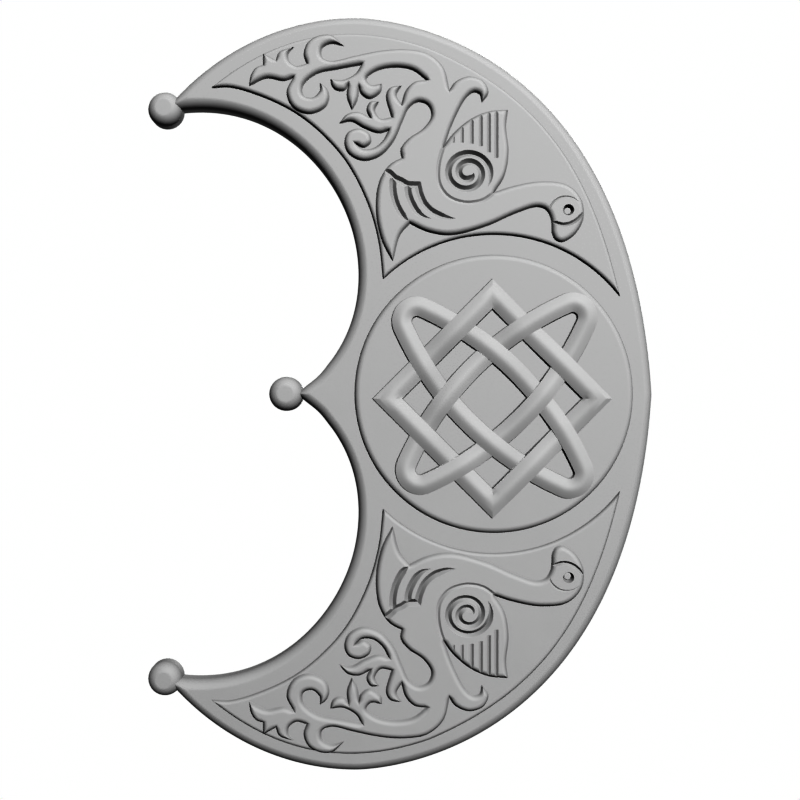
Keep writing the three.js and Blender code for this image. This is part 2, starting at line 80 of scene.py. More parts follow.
# Edges sharper than this stay sharp, and large faces weigh this much in the shading
SOFT_EDGE = radians(32)
FACE_WEIGHT = 80

# Smallest numbers to divide by, in the search for room inside an outline and for crossings
LEAST_CLOSING = 1e-9
LEAST_SCALE = 1e-15

# The upper half of the crescent's edge, from the right-hand side over the top
EDGE_SIDE = [(160.2, 0), (136.9, 374.5), (-125.9, 379), (-138.5, 379)]
EDGE_HORN = [(-138.5, 379), (-207, 379), (-277.6, 348.5), (-328.6, 287.5)]
EDGE_BAY = [(-316.3, 286), (-173.4, 303.2), (-88, 133.3), (-163.4, 33.4)]
EDGE_CUSP = [(-163.4, 33.4), (-175, 19), (-189.5, 7), (-198, 0)]
BALLS = [(-330.5, 287), (-208.5, 0), (-330.5, -287)]

# A panel's two long sides meet in a point at the horn, and end on an arc round the medallion
PANEL_START = radians(37.8)
PANEL_END = radians(133.8)
PANEL_OUTER = [(98.5, 216), (54, 295), (-64, 345)]
PANEL_UPPER = [(-64, 345), (-144, 373), (-216, 360), (-281.5, 306)]
PANEL_INNER = [(-281.5, 306), (-263, 306.5), (-229.5, 296.5), (-197.5, 280.5), (-170.5, 259),
               (-146, 230.5), (-125, 189), (-114.5, 151)]

# The bird with its leaves, as runs of a smooth line. Each run starts where the one before it
# ends, with a corner between them.
FIGURE_START = (-243.5, 307)
FIGURE_RUNS = [
    # leaf at the horn
    [(-241.5, 317.5), (-236.5, 324.5), (-229.5, 327)],
    # spike
    [(-229.5, 338.5)],
    [(-217, 331.5)],
    # upper leaf
    [(-213.5, 340), (-199.5, 345)],
    [(-205, 339), (-204.5, 331.5), (-197, 326), (-186, 328.5)],
    # curl at the top
    [(-189, 338), (-185.5, 349), (-176, 355.5), (-162, 356.5), (-150, 346.5)],
    [(-162, 349), (-171.5, 344), (-171.5, 335), (-162.5, 331), (-138.5, 336), (-113.5, 341),
     (-88.5, 342.5), (-66.5, 338.5), (-51, 325), (-44.5, 301.5)],
    # curl at the bird's shoulder
    [(-38.5, 310), (-25, 315.5), (-11, 311), (-6, 300), (-12, 290.5)],
    [(-14, 298.5), (-20.5, 300.5), (-28.5, 294.5), (-41.5, 270), (-50.5, 245)],
    # wing
    [(-41, 258), (-24, 272.5), (-6, 280.5), (13.5, 282.5)],
    [(11.5, 266.5), (14, 241), (10, 217.5), (-0.5, 200)],
    # neck, head and beak
    [(18, 206), (46, 211), (73, 207.5), (86.5, 193.5), (88.5, 175), (80, 159), (67.5, 151.5),
     (61, 154), (58, 160.5)],
    # throat and belly
    [(57, 174.5), (52, 183.5), (42.5, 186.5), (21, 180), (-9, 167), (-44, 158.5),
     (-66.5, 162), (-84, 170)],
    # tail
    [(-94, 158), (-101, 132.5)],
    [(-111, 152.5), (-117, 182), (-114.5, 209), (-107, 224), (-100.5, 230), (-91.5, 234.5)],
    # keyhole stem down to the scroll
    [(-92.5, 243.5), (-85, 253.5), (-70, 264), (-62, 276.5), (-65.5, 287.5), (-75.5, 291),
     (-85, 285), (-91.5, 271.5), (-100.5, 251.5), (-114, 237), (-130.5, 232.5), (-144, 239),
     (-148.5, 250), (-145, 260), (-134.5, 263.5), (-124.5, 258.5), (-123, 250.5),
     (-130, 245.5), (-138, 249)],
    [(-131.5, 243.5), (-120.5, 244), (-110.5, 251.5), (-104.5, 262.5)],
    # long leaf over the scroll
    [(-115, 260), (-129.5, 265), (-142, 271.5), (-153.5, 269.5)],
    [(-146, 278), (-135, 280), (-123, 274.5)],
    # three lobes of the fan
    [(-126.5, 283), (-122.5, 290.5), (-115, 290.5)],
    [(-119, 282.5), (-113, 273.5), (-101.5, 275)],
    [(-107, 297), (-103, 304.5), (-92.5, 306.5)],
    [(-97.5, 297.5), (-92, 287.5)],
    [(-87.5, 301.5), (-79, 310), (-66.5, 312)],
    # underside of the top stem
    [(-80.5, 322.5), (-99.5, 325.5), (-118, 321.5), (-127.5, 313.5), (-122.5, 307),
     (-112, 308.5)],
    # three petals hanging from it
    [(-113, 301), (-124, 294), (-132.5, 299.5), (-134.5, 306)],
    [(-136.5, 292.5), (-141.5, 283)],
    [(-146, 296), (-145, 308)],
    [(-149, 302.5), (-156.5, 302.5), (-161, 306.5), (-162.5, 313)],
    [(-150.5, 312), (-137, 319), (-131.5, 328)],
    # hook
    [(-153.5, 324), (-177.5, 318.5), (-190.5, 307), (-190, 297), (-181, 294.5),
     (-173, 301.5), (-173, 309)],
    [(-167, 304), (-164.5, 295.5), (-168.5, 285.5), (-184, 279), (-200, 285.5),
     (-206, 300.5), (-199.5, 315)],
    # underside of the leaf at the horn
    [(-209, 312), (-226.5, 314.5), FIGURE_START],
]

# Lines cut into the bird. The fades are the shares of a line's length over which its groove runs
# out at its start and at its end.
TAIL_TOP_RUNS = [
    [(-112, 225), (-107.5, 221.5), (-103.1, 218.3), (-98.6, 214), (-92.6, 211.3), (-87.1, 208),
     (-81.7, 207), (-75.9, 207)],
    [(-75.2, 202.8), (-73.7, 197.9), (-69.7, 188.9), (-61.7, 180.9), (-53.8, 177),
     (-45.8, 174.5), (-38.4, 173.8)],
]
TAIL_TOP_FADES = (0, 0.22)
TAIL_LEFT_LINE = [(-101, 216), (-100.8, 210.8), (-100.8, 204.8), (-99.6, 195.9), (-97.1, 187.9),
                  (-93.1, 179.9), (-88.6, 174), (-84.6, 171.5)]
TAIL_LEFT_FADES = (0.08, 0.2)
TAIL_RIGHT_LINE = [(-86, 209.5), (-85.8, 204.8), (-85.6, 200.8), (-84.6, 195.9), (-81.7, 188.9),
                   (-76.7, 180.9), (-70.7, 176), (-62.9, 173.7)]
TAIL_RIGHT_FADES = (0.08, 0.4)
WING_LINE = [(-46.5, 251.5), (-50.6, 244.5), (-55.5, 226), (-54.5, 208), (-45.5, 195.5),
             (-28, 189.5), (-11.5, 192), (-1.5, 198.5), (1.5, 201)]
FEATHER_LINES = [
    [(-40.5, 249), (-40.5, 262)],
    [(-32, 249), (-32, 270)],
    [(-22.5, 248), (-22.5, 277)],
    [(-13.5, 245.5), (-13.5, 281)],
    [(-5.5, 239.5), (-5.5, 284)],
    [(2, 234), (2, 287)],
]
FEATHER_SHARES = [0.6, 0.8, 1, 1, 1, 1]
FACE_LINE = [(53.5, 178), (56.5, 187.5), (63.5, 193.8), (71, 195.6), (79, 194), (86, 188.5)]
FACE_FADES = (0.1, 0.6)
BEAK_LINE = [(56, 170.7), (59, 170.2), (68.8, 167.8), (77.8, 170.1), (84.7, 175.2), (90, 181.5)]
NO_FADES = (0, 0)

# The eye. The pupil's rounding is a share of its radius.
EYE_CENTRE = (73.6, 182.5)
EYE_RADIUS = 5.4
EYE_TAPER = 2.7
PUPIL_CENTRE = (72.5, 181.1)
PUPIL_RADIUS = 3.9
PUPIL_ROUNDING = 0.25

# The spiral on the wing. Its groove grows by a share of its size towards the middle, and is cut in
# short spans, because its turns lie side by side.
SPIRAL_CENTRE_OUTSIDE = (-27.3, 218.1)
SPIRAL_CENTRE_INSIDE = (-25.7, 219.6)
SPIRAL_STRETCH = (1, 0.95)
SPIRAL_OUTER = 24.7
SPIRAL_INNER = 5
SPIRAL_CLOSING = 1.07
SPIRAL_SWELL = 0.1
SPIRAL_START = radians(-32)
SPIRAL_END = radians(712)
SPIRAL_FADES = (0.08, 0.11)
SPIRAL_STATIONS = 160
SPIRAL_SPAN = 16

# The knot's three strands are centred a little apart
DIAMOND_CENTRE = (-2.1, -4.9)
FALLING_LOOP_CENTRE = (-1.6, -3.6)
RISING_LOOP_CENTRE = (2, 0.2)

# A cove's rise to its width, the share of the wall above it that it may take up, and how many
# coves above the ground the wall begins
COVE_RISE = 1.7
COVE_SHARE = 0.8
COVES_CLEAR = 2

# Points across the top of a strand, and the room left before a mitre, to the strand's half width
STRAND_POINTS = 17
MITRE_ROOM = 1.05

# Section of a groove, from its rim to its bottom: share of the half width, share of the depth.
# Where a groove runs out, this share of its size is left.
GROOVE_SECTION = [(1.0, 0.0), (0.93, 0.03), (0.85, 0.11), (0.08, 0.95), (0.0, 1.0)]
THINNEST = 0.03

# Stations of a groove left out on each side of a sharp corner
CORNER_ROOM = 2

# Fine grain and broad patches of a surface, to a metre, and how finely each breaks up. The noise
# that draws them stays between two shares.
BODY_GRAINS = 2400
BODY_PATCHES = 110
FLOOR_GRAINS = 600
FLOOR_PATCHES = 12
GRAIN_DETAIL = 2
PATCH_DETAIL = 5
NOISE_LOW = 0.3
NOISE_HIGH = 0.7

# How rough the body is, and how much it shines
BODY_ROUGHNESS = (0.64, 0.76)
BODY_SHEEN = 0.2

# Faces take on the painted shade colour as they turn away from the front, from the first facing
# to the second, up to this share. This is shade painted on steep walls.
PAINTED_SHADE_FACING = (-0.8, -0.3)
PAINTED_SHADE_SHARE = 0.3

# The floor, in greys and in metres
FLOOR_ROUGHNESS = (0.8, 0.9)
FLOOR_GRAIN_HEIGHT = 0.0001
FLOOR_TONES = (0.8, 0.84)
FLOOR_BASE = 0.05
FLOOR_SIZE = 1.2
FLOOR_LEVEL = -0.45

# The camera's place before the drawing, its film's width in millimetres, and a lamp's size
CAMERA_PLACE = (-93.6, -6.2)
FILM_WIDTH = 36
LAMP_SIZE = 0.1


def length(name, text, default):
    return bpy.props.FloatProperty(
        name=name, description=text, default=default, min=0, unit="LENGTH", precision=5)


def grey(level):
    return (level, level, level, 1)


def tone(name, text, level):
    return bpy.props.FloatVectorProperty(
        name=name, description=text, subtype="COLOR", size=4, default=grey(level), min=0, max=1)


class OnlaySizes(bpy.types.PropertyGroup):
    """Sizes of the onlay's relief."""

    edge_height: length("Edge height", "Height of the plate's upright edge", 0.00275)
    shoulder_radius: length("Shoulder radius", "Rounding of the plate's rim", 0.00303)
    shoulder_run: length("Shoulder run", "How far in the plate's flat begins", 0.00245)
    ball_radius: length("Ball radius", "Radius of the balls at the points", 0.00428)
    panel_rise: length("Panel rise", "Height of a panel above the plate", 0.00108)
    panel_rounding: length("Panel rounding", "Rounding of a panel's rim", 0.0009)
    panel_gap: length("Panel gap", "Gap between panel and medallion", 0.0051)
    figure_rise: length("Figure rise", "Height of bird and leaves above their panel", 0.00125)
    panel_cove: length("Panel cove", "Slope left at a panel's foot", 0.00012)
    figure_cove: length("Figure cove", "Slope left at the foot of bird and leaves", 0.00016)
    medallion_radius: length("Medallion radius", "Radius of the medallion", 0.03475)
    medallion_rise: length("Medallion rise", "Height of the medallion", 0.0015)
    rounding_facets: bpy.props.IntProperty(
        name="Rounding facets", description="Facets across a rounded edge", default=7, min=2)


class KnotSizes(bpy.types.PropertyGroup):
    """Sizes of the interlaced star."""

    loop_length: length("Loop length", "Length of a loop along its centre line", 0.06077)
    loop_breadth: length("Loop breadth", "Breadth of a loop between centre lines", 0.01726)
    loop_end_radius: length("Loop end radius", "Radius of a loop's round ends", 0.0037)
    loop_width: length("Loop width", "Width of a loop's strand", 0.00483)
    diamond_reach: length("Diamond reach", "From the middle to a corner", 0.02595)
    diamond_width: length("Diamond width", "Width of the square strand", 0.00515)
    strand_rise: length("Strand rise", "Mean height of a strand's crown", 0.00266)
    strand_cove: length("Strand cove", "Slope left at a strand's foot", 0.0002)
    strand_ridge: length("Strand ridge", "Rounding where a strand's slopes meet", 0.00055)
    strand_slope: bpy.props.FloatProperty(
        name="Strand slope", description="Fall of a strand's slopes to their run", default=0.557)
    weave_lift: length("Weave lift", "How far a strand rises or dips at a crossing", 0.00069)


class GrooveSizes(bpy.types.PropertyGroup):
    """Sizes of the lines cut into the birds."""

    spiral_width: length("Spiral width", "Width of the spiral groove", 0.0017)
    spiral_depth: length("Spiral depth", "Depth of the spiral groove", 0.00115)
    tail_width: length("Tail width", "Width of the tail's grooves", 0.0019)
    tail_depth: length("Tail depth", "Depth of the tail's grooves", 0.00112)
    wing_width: length("Wing width", "Width of the line round the wing", 0.00115)
    wing_depth: length("Wing depth", "Depth of the line round the wing", 0.00046)
    feather_width: length("Feather width", "Width of a feather line", 0.0011)
    feather_depth: length("Feather depth", "Depth of a feather line", 0.00056)
    face_width: length("Face line width", "Width of the line over the face", 0.0006)
    face_depth: length("Face line depth", "Depth of the line over the face", 0.0003)
    beak_width: length("Beak line width", "Width of the line above the beak", 0.00105)
    beak_depth: length("Beak line depth", "Depth of the line above the beak", 0.0008)
    eye_depth: length("Eye depth", "Depth of the hollow round the pupil", 0.0022)


class OnlayFinish(bpy.types.PropertyGroup):
    """Colours of the cast body."""

    body_colour: tone("Body colour", "Grey of the cast body", 0.433)
    patch_colour: tone("Patch colour", "Grey of the darker patches", 0.425)
    # Painted shade: the grey that steep walls are darkened towards
    painted_shade_colour: tone("Painted shade colour", "Grey of the shade painted on steep walls", 0.38)
    worn_colour: tone("Worn colour", "Grey of the handled, highest relief", 0.44)
    grain_height: length("Grain height", "Height of the fine cast grain", 0.000004)


class StageSettings(bpy.types.PropertyGroup):
    """Camera, floor and lights."""

    lens: bpy.props.FloatProperty(
        name="Lens", description="Focal length in millimetres", default=50, min=10)
    distance: length("Camera distance", "From the lens to the plate's flat front", 0.2778)
    key_power: bpy.props.FloatProperty(
        name="Key power", description="Power of the key light in watts", default=32.1, min=0)
    key_distance: length("Key distance", "From the key light to the medallion", 1.36)
    key_tilt: bpy.props.FloatProperty(
        name="Key tilt", description="Angle between the key light and the relief's normal",
        default=radians(29.5), subtype="ANGLE")
    key_turn: bpy.props.FloatProperty(
        name="Key turn", description="Direction of the key light, from the right towards the top",
        default=radians(61.6), subtype="ANGLE")
    fill: bpy.props.FloatProperty(
        name="Fill", description="Strength of the light from all round", default=0.015, min=0)
    behind: bpy.props.FloatProperty(
        name="Light behind", description="Strength of the soft light behind the onlay",
        default=0.6, min=0)
    back_power: bpy.props.FloatProperty(
        name="Back power", description="Power of the light on the flat back", default=15, min=0)


def sizes():
    return bpy.context.scene.onlay_sizes


def rounded_rise(distance, radius):
    """How high a quarter-round edge has risen at a distance in from its foot."""
    return np.sqrt(np.maximum(0, radius**2 - (radius - distance) ** 2))


def smooth_line(points):
    """Points along a smooth curve through points of the drawing, denser where it bends."""
    stops = [np.array(p, float) * STEP for p in points]
    stops = [2 * stops[0] - stops[1], *stops, 2 * stops[-1] - stops[-2]]
    line = []
    for before, start, end, after in zip(stops, stops[1:], stops[2:], stops[3:]):
        gaps = [sqrt(hypot(*(b - a))) for a, b in ((before, start), (start, end), (end, after))]
        out = ((start - before) / gaps[0] - (end - before) / (gaps[0] + gaps[1])
               + (end - start) / gaps[1]) * gaps[1]
        into = ((end - start) / gaps[1] - (after - start) / (gaps[1] + gaps[2])
                + (after - end) / gaps[2]) * gaps[1]
        turn = abs(Vector(out).angle_signed(Vector(into), 0))
        pieces = max(1, round(turn / FACET_TURN), round(hypot(*(end - start)) / FACET_LENGTH))
        for t in np.arange(pieces) / pieces:
            line.append(start * (2 * t**3 - 3 * t**2 + 1) + end * (3 * t**2 - 2 * t**3)
                        + out * (t**3 - 2 * t**2 + t) + into * (t**3 - t**2))
    return np.array([*line, stops[-2]])


def bezier(points):
    """Points along a cubic curve, given by its ends and the two pulls between them."""
    a, b, c, d = (np.array(p, float) * STEP for p in points)
    pieces = round((hypot(*(b - a)) + hypot(*(c - b)) + hypot(*(d - c))) / GENTLE_FACET)
    t = np.linspace(0, 1, pieces + 1)[:, None]
    return (1 - t) ** 3 * a + 3 * (1 - t) ** 2 * t * b + 3 * (1 - t) * t**2 * c + t**3 * d


def mirrored(outline):
    """The same outline upside down, still counter-clockwise."""
    return (outline * (1, -1))[::-1]


def crescent_outline():
    upper = np.concatenate((
        bezier(EDGE_SIDE), bezier(EDGE_HORN)[1:], bezier(EDGE_BAY), smooth_line(EDGE_CUSP)[1:]))
    return np.concatenate((upper, mirrored(upper)[1:-1]))


def panel_outline():
    radius = sizes().medallion_radius + sizes().panel_gap
    pieces = round(radius * (PANEL_END - PANEL_START) / GENTLE_FACET)
    angles = np.linspace(PANEL_END, PANEL_START, pieces)
    arc = np.column_stack((np.cos(angles), np.sin(angles))) * radius
    first, last = tuple(arc[-1] / STEP), tuple(arc[0] / STEP)
    return np.concatenate((
        bezier([first, *PANEL_OUTER]), bezier(PANEL_UPPER)[1:],
        smooth_line([*PANEL_INNER, last])[1:], arc[1:-1]))


def figure_outline():
    corner = FIGURE_START
    line = []
    for run in FIGURE_RUNS:
        line.extend(smooth_line([corner, *run])[:-1])
        corner = run[-1]
    return np.array(line)[::-1]


def new_object(name, vertices, faces):
    """An object from points of the relief: across, up the onlay, and out of its back."""
    mesh = bpy.data.meshes.new(name)
    mesh.from_pydata([(u, -h, v) for u, v, h in vertices], [], faces)
    piece = bpy.data.objects.new(name, mesh)
    bpy.context.collection.objects.link(piece)
    return piece


def only_select(piece):
    bpy.ops.object.select_all(action="DESELECT")
    piece.select_set(True)
    bpy.context.view_layer.objects.active = piece


def closed_rings(name, rings, capped=True):
    """A closed object from rings of equally many points, from the lowest to the highest. Without
    caps, the last ring joins the first."""
    count = len(rings[0])
    around = np.arange(count)
    onward = (around + 1) % count
    faces = []
    last = len(rings) - 1 if capped else len(rings)
    for ring in range(last):
        low, high = ring * count, (ring + 1) % len(rings) * count
        faces.extend(zip(low + around, low + onward, high + onward, high + around))
    if capped:
        faces.append(list(around[::-1]))
        faces.append(list((len(rings) - 1) * count + around))
    piece = new_object(name, np.concatenate(rings), [list(map(int, face)) for face in faces])
    only_select(piece)
    bpy.ops.object.mode_set(mode="EDIT")
    bpy.ops.mesh.select_all(action="SELECT")
    bpy.ops.mesh.quads_convert_to_tris(quad_method="BEAUTY", ngon_method="BEAUTY")
    bpy.ops.object.mode_set(mode="OBJECT")
    return piece


def at_height(points, height):
    return np.column_stack((points, np.broadcast_to(height, len(points))))


def inward_directions(outline):
    before = outline - np.roll(outline, 1, axis=0)
    after = np.roll(outline, -1, axis=0) - outline
    along = before / np.linalg.norm(before, axis=1)[:, None]
    along += after / np.linalg.norm(after, axis=1)[:, None]
    along /= np.linalg.norm(along, axis=1)[:, None]
    return np.column_stack((-along[:, 1], along[:, 0]))


def room_inside(outline, inward):
    """Radius of the largest circle inside the outline that touches it at each point."""
    count = len(outline)
    sides = np.roll(outline, -1, axis=0) - outline
    lengths = np.linalg.norm(sides, axis=1)
    facing = np.column_stack((-sides[:, 1], sides[:, 0])) / lengths[:, None]
    room = np.empty(count)
    for i, (point, way) in enumerate(zip(outline, inward)):
        gaps = outline - point
        ahead = gaps @ way
        squares = (gaps**2).sum(axis=1)
        to_points = squares[ahead > 0] / (2 * ahead[ahead > 0])
        closing = np.maximum(1 - facing @ way, LEAST_CLOSING)
        touching = -(gaps * facing).sum(axis=1) / closing
        feet = ((way * touching[:, None] - gaps) * sides).sum(axis=1) / lengths
        usable = (touching > 0) & (feet > 0) & (feet < lengths)
        usable[[i, i - 1]] = False
        room[i] = min(to_points.min(initial=OPEN_ROOM), touching[usable].min(initial=OPEN_ROOM))
    return room


def rounded(name, outline, foot, edge, radius, run=None, cove=0, ground=0):
    """A piece of relief: an upright edge, and a rounding that runs in from it. Where the outline
    leaves less room than the rounding needs, its sides meet in a ridge. A cove is the small slope
    that is left at the foot of the edge, where it meets the ground."""
    inward = inward_directions(outline)
    reach = np.minimum(run or radius, ROOM_SHARE * room_inside(outline, inward))
    shares = 1 - np.cos(np.linspace(0, pi / 2, sizes().rounding_facets + 1))
    if cove:
        heights = edge + rounded_rise(shares * radius, radius)
        shares = shares[heights > ground + COVES_CLEAR * cove]
    rings = [at_height(outline + inward * (reach * share)[:, None],
                       edge + rounded_rise(reach * share, radius)) for share in shares]
    if not cove:
        return closed_rings(name, [at_height(outline, foot), *rings])
    spread = np.minimum(cove, ROOM_SHARE * room_inside(outline[::-1], -inward[::-1])[::-1])
    skirt = outline - inward * spread[:, None]
    lip = ground + np.minimum(spread * COVE_RISE, COVE_SHARE * (rings[0][:, 2] - ground))
    return closed_rings(name, [at_height(skirt, foot), at_height(skirt, ground),
                               at_height(outline, lip), *rings])


def rounded_disc(name, centre, size, *heights):
    """A round piece of relief with the same kind of edge."""
    pieces = round(2 * pi * size / ROUND_FACET)
    angles = 2 * pi * np.arange(pieces) / pieces
    circle = np.column_stack((np.cos(angles), np.sin(angles))) * size
    return rounded(name, circle + np.array(centre) * STEP, *heights)


def combine(target, tool, operation="UNION"):
    """Joins the tool to the target, or cuts it away from the target, and removes the tool."""
    modifier = target.modifiers.new("combine", "BOOLEAN")
    modifier.object = tool
    modifier.operation = operation
    modifier.solver = "MANIFOLD"
    only_select(target)
    bpy.ops.object.modifier_apply(modifier=modifier.name)
    bpy.data.objects.remove(tool)


def mitred_directions(line):
    """Direction across an open line at each point, longer where the line turns a corner."""
    along = np.diff(line, axis=0)
    along /= np.linalg.norm(along, axis=1)[:, None]
    before = np.concatenate((along[:1], along))
    after = np.concatenate((along, along[-1:]))
    middle = before + after
    middle *= 2 / (middle**2).sum(axis=1)[:, None]
    return np.column_stack((-middle[:, 1], middle[:, 0]))


def groove_rings(line, top, width, depth, shares):
    """Sections along a line of a groove with soft rims, whose size follows the shares."""
    half = width / 2
    sides = [(half * wide, -depth * deep) for wide, deep in GROOVE_SECTION]
    rings = []
    for point, sideways, share in zip(line, mitred_directions(line), shares):
        share = max(share, THINNEST)
        section = [(x * share, h * share) for x, h in sides[::-1]]
        section.append((half * share + PROUD / 2, PROUD))
        section.append((-half * share - PROUD / 2, PROUD))
        section += [(-x * share, h * share) for x, h in sides[:-1]]
        rings.append(np.array([(*(point + sideways * x), top + h) for x, h in section]))
    return rings


def fading(count, fade_in, fade_out):
    """Depth shares along a line whose groove runs out over a share of each end."""
    t = np.linspace(0, 1, count)
    rise = np.clip(t / fade_in, 0, 1) if fade_in else np.ones(count)
    fall = np.clip((1 - t) / fade_out, 0, 1) if fade_out else np.ones(count)
    return np.sin(np.minimum(rise, fall) * pi / 2)


def spiral_line():
    share = np.linspace(0, 1, SPIRAL_STATIONS + 1)
    angle = SPIRAL_START + (SPIRAL_END - SPIRAL_START) * share
    radius = SPIRAL_INNER + (SPIRAL_OUTER - SPIRAL_INNER) * (1 - share) ** SPIRAL_CLOSING
    outside, inside = np.array(SPIRAL_CENTRE_OUTSIDE), np.array(SPIRAL_CENTRE_INSIDE)
    centres = outside + (inside - outside) * share[:, None]
    circle = np.column_stack((np.cos(angle), np.sin(angle))) * SPIRAL_STRETCH
    return (centres + circle * radius[:, None]) * STEP


def cornered_line(runs):
    """Smooth runs joined at sharp corners, with room left there for the mitred sections."""
    line = smooth_line(runs[0])
    for run in runs[1:]:
        onward = smooth_line([line[-1] / STEP, *run])
        line = np.concatenate((line[:-1 - CORNER_ROOM], line[-1:], onward[1 + CORNER_ROOM:]))
    return line


def carve_eye(panel, top):
    """Sinks the round hollow of the eye, and sets the pupil in it."""
    depth = bpy.context.scene.groove_sizes.eye_depth
    angle = np.arange(0, 2 * pi, FACET_TURN)
    circle = np.column_stack((np.cos(angle), np.sin(angle))) * STEP
    rim = np.array(EYE_CENTRE) * STEP
    flare = PROUD / depth * EYE_TAPER
    hollow = closed_rings("hollow", [
        at_height(rim + circle * (EYE_RADIUS - EYE_TAPER), top - depth),
        at_height(rim + circle * EYE_RADIUS, top),
        at_height(rim + circle * (EYE_RADIUS + flare), top + PROUD)])
    combine(panel, hollow, "DIFFERENCE")
    radius = PUPIL_RADIUS * STEP
    rounding = radius * PUPIL_ROUNDING
    combine(panel, rounded_disc("pupil", PUPIL_CENTRE, radius, top - depth - PROUD,
                                top - rounding, rounding))


def cut_lines(figure, top):
    """Cuts the lines of tail, wing, feathers and face, and the spiral."""
    grooves = bpy.context.scene.groove_sizes

    def cut(line, width, depth, shares, span=None):
        rings = groove_rings(line, top, width, depth, shares)
        span = span or len(rings)
        for start in range(0, len(rings) - 1, span):
            part = rings[start:start + span + 2]
            combine(figure, closed_rings("cutter", part), "DIFFERENCE")

    for line, fades in ((cornered_line(TAIL_TOP_RUNS), TAIL_TOP_FADES),
                        (smooth_line(TAIL_LEFT_LINE), TAIL_LEFT_FADES),
                        (smooth_line(TAIL_RIGHT_LINE), TAIL_RIGHT_FADES)):
        cut(line, grooves.tail_width, grooves.tail_depth, fading(len(line), *fades))
    line = smooth_line(WING_LINE)
    cut(line, grooves.wing_width, grooves.wing_depth, fading(len(line), *NO_FADES))
    for points, share in zip(FEATHER_LINES, FEATHER_SHARES):
        line = smooth_line(points)
        cut(line, grooves.feather_width, grooves.feather_depth, np.full(len(line), share))
    line = smooth_line(FACE_LINE)
    cut(line, grooves.face_width, grooves.face_depth, fading(len(line), *FACE_FADES))
    line = smooth_line(BEAK_LINE)
    cut(line, grooves.beak_width, grooves.beak_depth, fading(len(line), *NO_FADES))
    line = spiral_line()
    swell = np.linspace(1, 1 + SPIRAL_SWELL, len(line))
    shares = fading(len(line), *SPIRAL_FADES) * swell
    cut(line, grooves.spiral_width, grooves.spiral_depth, shares, SPIRAL_SPAN)


def plate_top():
    return sizes().edge_height + float(rounded_rise(sizes().shoulder_run, sizes().shoulder_radius))


def loop_line(centre, turn):
    """Centre line of a long loop, two shallow arcs joined by tight round ends."""
    knot = bpy.context.scene.knot_sizes
    end = knot.loop_end_radius
    end_centre = knot.loop_length / 2 - end
    half = knot.loop_breadth / 2
    side = (end_centre**2 + half**2 - end**2) / 2 / (half - end)
    sink = side - half
    join = atan2(sink, end_centre)
    arcs = [(-end_centre, 0, end, pi, pi - join), (0, -sink, side, pi - join, join),
            (end_centre, 0, end, join, -join), (0, sink, side, -join, join - pi),
            (-end_centre, 0, end, join - pi, -pi)]
    line = []
    for x, y, radius, start, finish in arcs:
        pieces = round(radius * abs(finish - start) / FACET_LENGTH)
        angles = start + (finish - start) * np.arange(pieces) / pieces
        line.extend((x + radius * cos(a), y + radius * sin(a)) for a in angles)
    turned = np.array(line) @ np.array([(cos(turn), sin(turn)), (-sin(turn), cos(turn))])
    return turned + np.array(centre) * STEP


def diamond_line():
    """Centre line of the square strand, from its left corner clockwise. Near a corner it has no
    points, so that the sections there don't cut through the mitre."""
    knot = bpy.context.scene.knot_sizes
    reach = knot.diamond_reach
    corners = np.array([(-1, 0), (0, 1), (1, 0), (0, -1), (-1, 0)]) * reach
    side = reach * sqrt(2)
    clear = (knot.diamond_width / 2 + knot.strand_cove) / side * MITRE_ROOM
    pieces = round(side / FACET_LENGTH)
    shares = [0, *np.linspace(clear, 1 - clear, pieces)]
    line = [start + (end - start) * share
            for start, end in zip(corners, corners[1:]) for share in shares]
    return np.array(line) + np.array(DIAMOND_CENTRE) * STEP


def crossings(line, other):
    """Places along a closed line where another one crosses it, and the distance of its points."""
    spans = np.roll(line, -1, axis=0) - line
    distances = np.concatenate(([0], np.cumsum(np.linalg.norm(spans, axis=1))))
    reaches = np.roll(other, -1, axis=0) - other
    found = []
    for i, (start, span) in enumerate(zip(line, spans)):
        gaps = other - start
        scale = span[0] * reaches[:, 1] - span[1] * reaches[:, 0]
        scale = np.where(np.abs(scale) < LEAST_SCALE, LEAST_SCALE, scale)
        along = (gaps[:, 0] * reaches[:, 1] - gaps[:, 1] * reaches[:, 0]) / scale
        across = (gaps[:, 0] * span[1] - gaps[:, 1] * span[0]) / scale
        hits = (along >= 0) & (along < 1) & (across >= 0) & (across < 1)
        found.extend(distances[i] + along[hits] * hypot(*span))
    return found, distances


def crown_heights(line, others):
    """Height of a strand's crown above the medallion. From its start it passes under the first
    strand that it meets, over the second, and so on by turns, in an even wave between them."""
    knot = bpy.context.scene.knot_sizes
    places = []
    for other in others:
        found, distances = crossings(line, other)
        places += found
    places, total, along = sorted(places), distances[-1], distances[:-1]
    places = np.array([places[-1] - total, *places, places[0] + total])
    span = np.searchsorted(places, along, side="right") - 1
    share = (along - places[span]) / (places[span + 1] - places[span])
    side = np.where(span % 2, -1, 1)
    return knot.strand_rise + knot.weave_lift * side * np.cos(share * pi)


